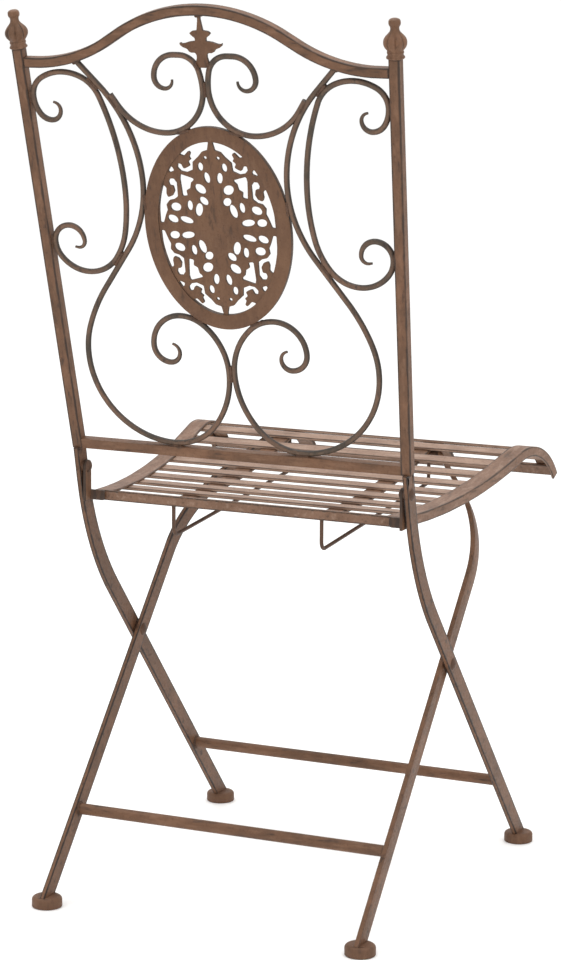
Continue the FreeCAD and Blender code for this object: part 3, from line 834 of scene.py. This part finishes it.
@dataclass
class ScrollWork:
    """Scrolls of round rod in the back, forged thin at the volute tips, in millimetres."""

    rod: float = 6.0
    tip: float = 2.6
    tip_run: float = 34.0
    tip_fade: float = 1.5
    weld: float = 0.05
    sides: int = 14
    hammer_depth: float = 0.12
    hammer_size: float = 9.0
    # No dark where a rod faces front or back, at 1, and full dark at its sides, partly patina and
    # partly painted shade where the round rod turns away.
    dark_span: Span = (1.0, 0.5)
    stile_half: float = 5.5
    rail_top: float = 6.0
    side_touch: float = 369.0
    crest_low: float = 336.6
    crest_r: float = 45.0
    lyre_touch: tuple[Move, ...] = ((61, -50), (90, -40))
    lyre_volute: tuple[Move, ...] = ((64, -50), (40, -40), (33, -90), (17.5, -90), (11, -90),
                                     (9, -80))
    lyre_rise: tuple[Move, ...] = ((90, 110), (170, 16), (52, 0), (128, -23), (115, -13),
                                   (141, -43), (36, 0))
    side_sweep: tuple[Move, ...] = ((22, 60), (48.1, 55), (35.52, 43), (256.8, 22), (200, 12),
                                    (75, 25), (40, 53))
    side_volute: tuple[Move, ...] = ((38.73, 50), (26, 40), (17.5, 90), (16, 90), (7, 100),
                                     (3, 0))
    side_curl: tuple[Move, ...] = ((30, -35), (16, -55), (10.5, -90), (8, -85))
    crest_volute: tuple[Move, ...] = ((70, -15), (21, -75), (6, 0), (23, -90), (11, -90),
                                      (8.5, -95))
    # The arm's blunt end stands out on the inner side of the lyre, as in the photograph.
    crest_arm: tuple[Move, ...] = ((60, 56), (13, 0))

    @property
    def touch(self) -> float:
        """Distance from a rod's centre to what it is welded to."""
        return self.rod / 2 + self.weld

    def lyre(self) -> Walk:
        """Lay the left lyre scroll between the rails.

        Returns:
            Its path.
        """
        run = Walk((0, 0), 180, self.lyre_touch).end()[0][0]
        anchor = (self.touch - run, self.rail_top + self.touch)
        return Walk.through(anchor, 180, self.lyre_touch + self.lyre_volute, self.lyre_rise)

    def side(self) -> Walk:
        """Lay the left side scroll between the stile and the lyre.

        Returns:
            Its path.
        """
        off = self.stile_half + self.touch
        anchor = (BACK.stile_at(self.side_touch) - off * math.cos(BACK.flare),
                  self.side_touch + off * math.sin(BACK.flare))
        return Walk.through(anchor, 90, self.side_sweep + self.side_volute, self.side_curl)

    def crest(self) -> Walk:
        """Lay the left crest scroll over the medallion.

        Returns:
            Its path.
        """
        anchor = (self.touch + self.crest_r, self.crest_low)
        return Walk.through(anchor, 180, ((self.crest_r, -90),) + self.crest_volute,
                            self.crest_arm)

    def recipe(self, material: Material) -> NodeRecipe:
        """Tube along lines of edges, thinner by the tip layer, darker at its sides from patina
        and painted shade.

        Args:
            material: the rods' finish.

        Returns:
            The tree, ready to run.
        """
        recipe = NodeRecipe("scroll_rod", {
            "Rod Radius": ("NodeSocketFloat", self.rod / 2 * MM),
            "Tip Radius": ("NodeSocketFloat", self.tip / 2 * MM),
            "Sides": ("NodeSocketInt", self.sides),
            "Hammer Depth": ("NodeSocketFloat", self.hammer_depth * MM),
            "Hammer Scale": ("NodeSocketFloat", per_metre(self.hammer_size)),
            "Facing": ("NodeSocketVector", BACK.ahead),
            "Material": ("NodeSocketMaterial", material)})
        given = recipe.start
        share = recipe.add("GeometryNodeInputNamedAttribute", {"Name": TIP_LAYER})
        radius = recipe.add("ShaderNodeMix", {
            "Factor": share.outputs["Attribute"], "A": given["Rod Radius"],
            "B": given["Tip Radius"]})
        curve = recipe.add("GeometryNodeMeshToCurve", {"Mesh": given["Geometry"]})
        # The ring's radius is 1, so that the tube's scale is the rod's radius.
        ring = recipe.add("GeometryNodeCurvePrimitiveCircle", {
            "Resolution": given["Sides"], "Radius": 1.0})
        tube = recipe.add("GeometryNodeCurveToMesh", {
            "Curve": curve.outputs[0], "Profile Curve": ring.outputs[0],
            "Scale": radius.outputs[0], "Fill Caps": True})
        # Painted shade with patina: the rod's sides, turned away from the back's facing, get the
        # dark edge layer.
        normal = recipe.add("GeometryNodeInputNormal").outputs[0]
        turned = recipe.add("ShaderNodeVectorMath", {0: normal, 1: given["Facing"]},
                            operation="DOT_PRODUCT")
        flat = reckon(recipe.tree, "ABSOLUTE", turned.outputs["Value"])
        marked = recipe.add("GeometryNodeStoreNamedAttribute", {
            "Geometry": tube.outputs[0], "Name": EDGE_LAYER,
            "Value": spread(recipe.tree, flat, self.dark_span)})
        recipe.finish(recipe.roughen(marked.outputs[0], given["Hammer Scale"],
                                     given["Hammer Depth"], inward=True))
        return recipe

    def line(self, walk: Walk, side: Side, thin_start: bool) -> Mesh:
        """Line of edges along a walk, with the tip layer set near its thin ends.

        Args:
            walk: the left scroll's path.
            side: the side to make it for.
            thin_start: whether the path's start is a volute tip too.

        Returns:
            The line.
        """
        spots = walk.points()
        lengths = [0.0]
        for a, b in zip(spots, spots[1:]):
            lengths.append(lengths[-1] + math.dist(a, b))
        mesh = line_mesh("scroll_line", [[BACK.place(x * side.value, s) for x, s in spots]])
        shares = []
        for length in lengths:
            left = lengths[-1] - length
            free = min(left, length) if thin_start else left
            shares.append(max(0.0, 1 - free / self.tip_run) ** self.tip_fade)
        layer = mesh.attributes.new(TIP_LAYER, "FLOAT", "POINT")
        layer.data.foreach_set("value", shares)
        return mesh

    def build(self, finishes: Finishes, slot: str) -> None:
        """Make the six scrolls.

        Args:
            finishes: the chair's finishes.
            slot: the record's material slot.
        """
        recipe = self.recipe(finishes.rod)
        paths = {"lyre_scroll": (self.lyre(), False), "side_scroll": (self.side(), True),
                 "crest_scroll": (self.crest(), False)}
        for side in Side:
            for name, (walk, thin_start) in paths.items():
                node = side.prefix + name
                mesh = recipe.run(node + "_rod", self.line(walk, side, thin_start))
                seat_piece(link(node + "_rod", mesh, finishes.rod), Body.BACK, slot, node)


@dataclass
class Finials:
    """Cast finials on the stile tops: lip, collar, lobed bulb, neck and knob, in mm."""

    base: float = 418.0
    lobes: int = 8
    lobe_depth: float = 0.13
    lobe_sharpness: int = 2
    groove_patina: float = 0.65
    around: int = 96
    smooth_deg: float = 50.0
    # Radius at each height, from the lip up, and how far the lobes show there.
    profile: tuple[tuple[float, float, float], ...] = (
        (0.0, 8.4, 0), (0.5, 8.95, 0), (1.6, 8.95, 0), (2.2, 8.3, 0), (3.4, 7.7, 0),
        (4.6, 7.7, 0), (5.2, 8.15, 0), (6.3, 8.15, 0), (6.9, 7.7, 0), (7.8, 8.0, 0.1),
        (9.2, 9.1, 0.5), (11.0, 10.5, 0.9), (13.0, 11.4, 1), (15.0, 11.75, 1),
        (17.0, 11.5, 1), (19.0, 10.7, 1), (21.0, 9.3, 1), (23.0, 7.4, 0.9), (24.6, 5.9, 0.6),
        (26.0, 4.9, 0.3), (27.4, 4.4, 0), (29.0, 4.3, 0), (30.6, 4.6, 0), (31.6, 5.4, 0),
        (33.0, 5.85, 0), (34.6, 5.9, 0), (36.2, 5.6, 0), (37.4, 4.7, 0), (38.1, 3.2, 0),
        (38.4, 1.4, 0))

    def mesh(self, side: Side) -> Mesh:
        """Turn the profile round the stile's axis.

        Args:
            side: the side to make it for.

        Returns:
            A closed mesh, with the edge layer set in the grooves.
        """
        axis = Vector((math.sin(BACK.flare) * side.value, 0, 0)) + BACK.up * math.cos(BACK.flare)
        foot = BACK.place(BACK.stile_at(self.base) * side.value, self.base)
        across = axis.cross(BACK.ahead).normalized()
        work = bmesh.new()
        layer = work.verts.layers.float.new(EDGE_LAYER)
        rings = []
        for height, radius, show in self.profile:
            ring = []
            for i in range(self.around):
                turn = 2 * math.pi * i / self.around
                dip = 1 - abs(math.cos(turn * self.lobes / 2))
                groove = dip ** self.lobe_sharpness * show
                size = radius * (1 - self.lobe_depth * groove)
                spoke = BACK.ahead * math.cos(turn) + across * math.sin(turn)
                vert = work.verts.new(foot + (axis * height + spoke * size) * MM)
                vert[layer] = self.groove_patina * groove
                ring.append(vert)
            rings.append(ring)
        for low, high in zip(rings, rings[1:]):
            for i in range(self.around):
                j = (i + 1) % self.around
                work.faces.new((low[i], low[j], high[j], high[i]))
        work.faces.new(rings[0])
        work.faces.new(rings[-1])
        bmesh.ops.recalc_face_normals(work, faces=work.faces)
        mesh = bpy.data.meshes.new(side.prefix + "finial_cast")
        work.to_mesh(mesh)
        work.free()
        soften(mesh, self.smooth_deg)
        return mesh

    def build(self, material: Material, slot: str) -> None:
        """Make both finials.

        Args:
            material: their finish.
            slot: the record's material slot.
        """
        for side in Side:
            node = side.prefix + "finial"
            piece = link(node + "_cast", self.mesh(side), material)
            seat_piece(piece, Body.BACK, slot, node)


@dataclass
class Welds:
    """Lumpy weld beads where rods, plates, rails and stretchers meet, in millimetres."""

    bead: float = 1.7
    pitch: float = 1.5
    depth: float = 1.7
    smallest: float = 0.65
    largest: float = 1.1
    ball_cuts: int = 2
    lump_depth: float = 0.5
    lump_size: float = 2.5
    ring_points: int = 24
    seed: int = 7
    # Across, up the back, direction of the seam in degrees, and length, on the left half.
    spots: tuple[tuple[float, float, float, float], ...] = (
        (70.9, 6.0, 0, 12), (33.0, 144.0, 20, 11), (77.7, 265.0, 90, 12),
        (28.0, 338.5, -15, 11), (102.6, 366.2, 56, 10), (113.7, 203.6, 126, 14),
        (122.6, 384.4, 47, 12), (194.3, 369.0, 90, 9), (187.7, 218.8, 90, 9),
        (6.5, 404.5, 70, 5), (138.4, 405.9, -32, 6))
    middle: tuple[tuple[float, float, float, float], ...] = (
        (0.0, 88.7, 90, 14), (0.0, 381.6, 90, 12), (0.0, 454.8, 0, 4))

    def recipe(self, material: Material) -> NodeRecipe:
        """Beads of uneven size set along lines of edges.

        Args:
            material: the welds' finish.

        Returns:
            The tree, ready to run.
        """
        recipe = NodeRecipe("weld_beads", {
            "Bead Radius": ("NodeSocketFloat", self.bead * MM),
            "Bead Pitch": ("NodeSocketFloat", self.pitch * MM),
            "Lump Depth": ("NodeSocketFloat", self.lump_depth * MM),
            "Lump Scale": ("NodeSocketFloat", per_metre(self.lump_size)),
            "Seed": ("NodeSocketInt", self.seed),
            "Material": ("NodeSocketMaterial", material)})
        given = recipe.start
        curve = recipe.add("GeometryNodeMeshToCurve", {"Mesh": given["Geometry"]})
        spaced = recipe.add("GeometryNodeResampleCurve", {
            "Curve": curve.outputs[0], "Length": given["Bead Pitch"]}, mode="LENGTH")
        ball = recipe.add("GeometryNodeMeshIcoSphere", {
            "Radius": given["Bead Radius"], "Subdivisions": self.ball_cuts})
        size = recipe.add("FunctionNodeRandomValue", {
            "Min": (self.smallest,) * 3, "Max": (self.largest,) * 3, "Seed": given["Seed"]},
            data_type="FLOAT_VECTOR")
        beads = recipe.add("GeometryNodeInstanceOnPoints", {
            "Points": spaced.outputs[0], "Instance": ball.outputs["Mesh"],
            "Scale": size.outputs["Value"]})
        real = recipe.add("GeometryNodeRealizeInstances", {"Geometry": beads.outputs[0]})
        recipe.finish(recipe.roughen(real.outputs[0], given["Lump Scale"],
                                     given["Lump Depth"], inward=False))
        return recipe

    def back_seams(self) -> list[list[Vector]]:
        """Lay seams on both faces of the back panel.

        Returns:
            The two ends of each seam.
        """
        rows = [(x * side.value, s, turn * side.value, length)
                for side in Side for x, s, turn, length in self.spots] + list(self.middle)
        seams = []
        for x, s, turn, length in rows:
            run = (math.cos(math.radians(turn)) * length / 2,
                   math.sin(math.radians(turn)) * length / 2)
            for d in (-self.depth, self.depth):
                seams.append([BACK.place(x - run[0], s - run[1], d),
                              BACK.place(x + run[0], s + run[1], d)])
        return seams

    def end_rings(self, node: str) -> list[list[Vector]]:
        """Lay seams round both ends of a stretcher.

        Args:
            node: the stretcher's CAD node.

        Returns:
            The points of each ring.
        """
        low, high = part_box(node)
        middle = (low + high) / 2
        radius = (high.z - low.z) / 2
        rings = []
        for x in (low.x, high.x):
            centre = Vector((x, middle.y, middle.z))
            turns = [2 * math.pi * i / self.ring_points for i in range(self.ring_points + 1)]
            rings.append([centre + Vector((0, math.cos(a), math.sin(a))) * radius for a in turns])
        return rings

    def build(self, material: Material, slot: str) -> None:
        """Make the welds of each body.

        Args:
            material: their finish.
            slot: the record's material slot.
        """
        recipe = self.recipe(material)
        seams = {Body.BACK: self.back_seams() + self.end_rings("front_stretcher"),
                 Body.LEGS: self.end_rings("rear_stretcher")}
        for body, paths in seams.items():
            name = body.value + "_welds"
            mesh = recipe.run(name, line_mesh(name + "_seams", paths))
            seat_piece(link(name, mesh, material), body, slot)


@dataclass(frozen=True)
class Lamp:
    """A soft square lamp, in metres and watts."""

    name: str
    at: tuple[float, float, float]
    aim: tuple[float, float, float]
    size: float
    power: float

    def hang(self) -> None:
        """Hang the lamp and turn it to the point that it lights."""
        light = bpy.data.lights.new(self.name, "AREA")
        light.size = self.size
        light.energy = self.power
        lamp = bpy.data.objects.new(self.name, light)
        lamp.location = self.at
        beam = Vector(self.aim) - Vector(self.at)
        lamp.rotation_euler = beam.to_track_quat("-Z", "Y").to_euler()
        bpy.context.scene.collection.objects.link(lamp)


@dataclass
class Studio:
    """Camera at the photograph's place, a pale floor and soft light."""

    eye: Vector = field(default_factory=lambda: Vector((-1.32825, 2.94249, 1.02244)))
    ahead: Vector = field(default_factory=lambda: Vector((0.40811, -0.89474, -0.18137)))
    roll_deg: float = 0.37
    nudge_px: float = 1.3
    focal_px: float = 3113.9
    frame_px: tuple[int, int] = (562, 960)
    sensor_mm: float = 36.0
    far_m: float = 100.0
    floor_m: float = 60.0
    room_light: float = 1.05
    lamps: tuple[Lamp, ...] = (
        Lamp("key_lamp", at=(-2.6, 2.6, 3.0), aim=(0, 0, 0.5), size=2.4, power=25),
        Lamp("top_lamp", at=(0.3, -0.4, 3.6), aim=(0, 0, 0.4), size=3.0, power=60))

    def camera(self) -> None:
        """Make the scene's camera."""
        lens = bpy.data.cameras.new("photo_camera")
        lens.sensor_width = self.sensor_mm
        lens.lens = self.focal_px * self.sensor_mm / max(self.frame_px)
        lens.dof.use_dof = False
        lens.clip_end = self.far_m
        camera = bpy.data.objects.new("photo_camera", lens)
        bpy.context.scene.collection.objects.link(camera)
        ahead = self.ahead.normalized()
        level = ahead.cross(Vector((0, 0, 1))).normalized()
        ahead = (ahead - level * (self.nudge_px / self.focal_px)).normalized()
        level = ahead.cross(Vector((0, 0, 1))).normalized()
        upright = level.cross(ahead)
        roll = math.radians(self.roll_deg)
        right = level * math.cos(roll) + upright * math.sin(roll)
        up = right.cross(ahead)
        turn = Matrix((right, up, -ahead)).transposed().to_4x4()
        camera.matrix_world = Matrix.Translation(self.eye) @ turn
        bpy.context.scene.camera = camera

    def build(self, finishes: Finishes) -> None:
        """Make floor, lamps, world and camera.

        Args:
            finishes: the chair's finishes, for the floor's paper.
        """
        half = self.floor_m / 2
        mesh = bpy.data.meshes.new("studio_floor")
        mesh.from_pydata([(-half, -half, 0), (half, -half, 0), (half, half, 0), (-half, half, 0)],
                         [], [(0, 1, 2, 3)])
        link("studio_floor", mesh, finishes.paper)
        world = bpy.data.worlds.new("soft_white_room")
        bpy.context.scene.world = world
        world.use_nodes = True
        sky = world.node_tree.nodes["Background"].inputs
        sky["Color"].default_value = (1, 1, 1, 1)
        sky["Strength"].default_value = self.room_light
        # Plain sRGB display keeps the paper white and the paint at its own colour.
        bpy.context.scene.view_settings.view_transform = "Standard"
        for lamp in self.lamps:
            lamp.hang()
        self.camera()
        LOG.info("studio ready")


def slots() -> dict[str, str]:
    """Material slot of each CAD node, from the record."""
    return {row["node"]: row["material_slot"] for row in frame["record"]["subparts"]}


def body_of(node: str) -> Body:
    """Body that a CAD node belongs to, from the frame."""
    parent = frame["nodes"][node].parent
    return next(body for body in Body if frame["bodies"][body.value] == parent)


@dataclass
class Ironwork:
    """All straight and bent bars, plates and caps, made from their CAD nodes, in mm."""

    plate_ease: float = 0.35
    sheet_ease: float = 0.5
    cap_ease: float = 0.3
    cap_line: float = 1.5
    leg_share: float = 0.3

    def piece(self, node: str, slot: str) -> EasedNode:
        """Choose how a node's edges are eased.

        Args:
            node: the CAD node.
            slot: its material slot.

        Returns:
            The eased node, not yet built.
        """
        body = body_of(node)
        if slot == "ornament_paint":
            return EasedNode(node, body, ease_mm=self.plate_ease, facing=BACK.ahead)
        if node.endswith("_hinge_bracket"):
            return EasedNode(node, body, ease_mm=self.sheet_ease, facing=Vector((1, 0, 0)))
        if slot == "foot_caps":
            return EasedNode(node, body, ease_mm=self.cap_ease, line_mm=self.cap_line)
        if slot == "seat_paint":
            return EasedNode(node, body, ease_mm=self.sheet_ease)
        if node.endswith("_leg"):
            return EasedNode(node, body, line_share=self.leg_share)
        return EasedNode(node, body)

    def paint(self, node: str, slot: str, finishes: Finishes) -> Material:
        """Choose a node's finish.

        Args:
            node: the CAD node.
            slot: its material slot.
            finishes: the chair's finishes.

        Returns:
            The finish.
        """
        # Slats get their own paler paint, partly wear and partly painted light on their tops.
        if node.startswith("seat_slat"):
            return finishes.slat
        if slot == "frame_paint" and node.endswith(("_rail", "_stretcher")):
            return finishes.rail
        if node.endswith("_leg"):
            return finishes.leg
        return {"frame_paint": finishes.bar, "ornament_paint": finishes.plate,
                "seat_paint": finishes.seat, "foot_caps": finishes.cap}[slot]

    def build(self, finishes: Finishes, done: set[str]) -> None:
        """Make every node that is not done yet.

        Args:
            finishes: the chair's finishes.
            done: nodes that other classes make.
        """
        for node, slot in slots().items():
            if node in done:
                continue
            if slot == "fastener_paint" or "guide_wire" in node:
                dress(node, finishes.weld)
            else:
                self.piece(node, slot).build(self.paint(node, slot, finishes), slot)


def main() -> None:
    """Build the chair's visible pieces in order."""
    logging.basicConfig(level=logging.INFO, format="%(message)s")
    finishes = Finishes()
    round_work = {side.prefix + name for side in Side
                  for name in ("lyre_scroll", "side_scroll", "crest_scroll", "finial")}
    ScrollWork().build(finishes, "ornament_paint")
    Finials().build(finishes.bar, "frame_paint")
    Welds().build(finishes.weld, "frame_paint")
    Ironwork().build(finishes, round_work)
    Studio().build(finishes)


if __name__ == "__main__":
    main()
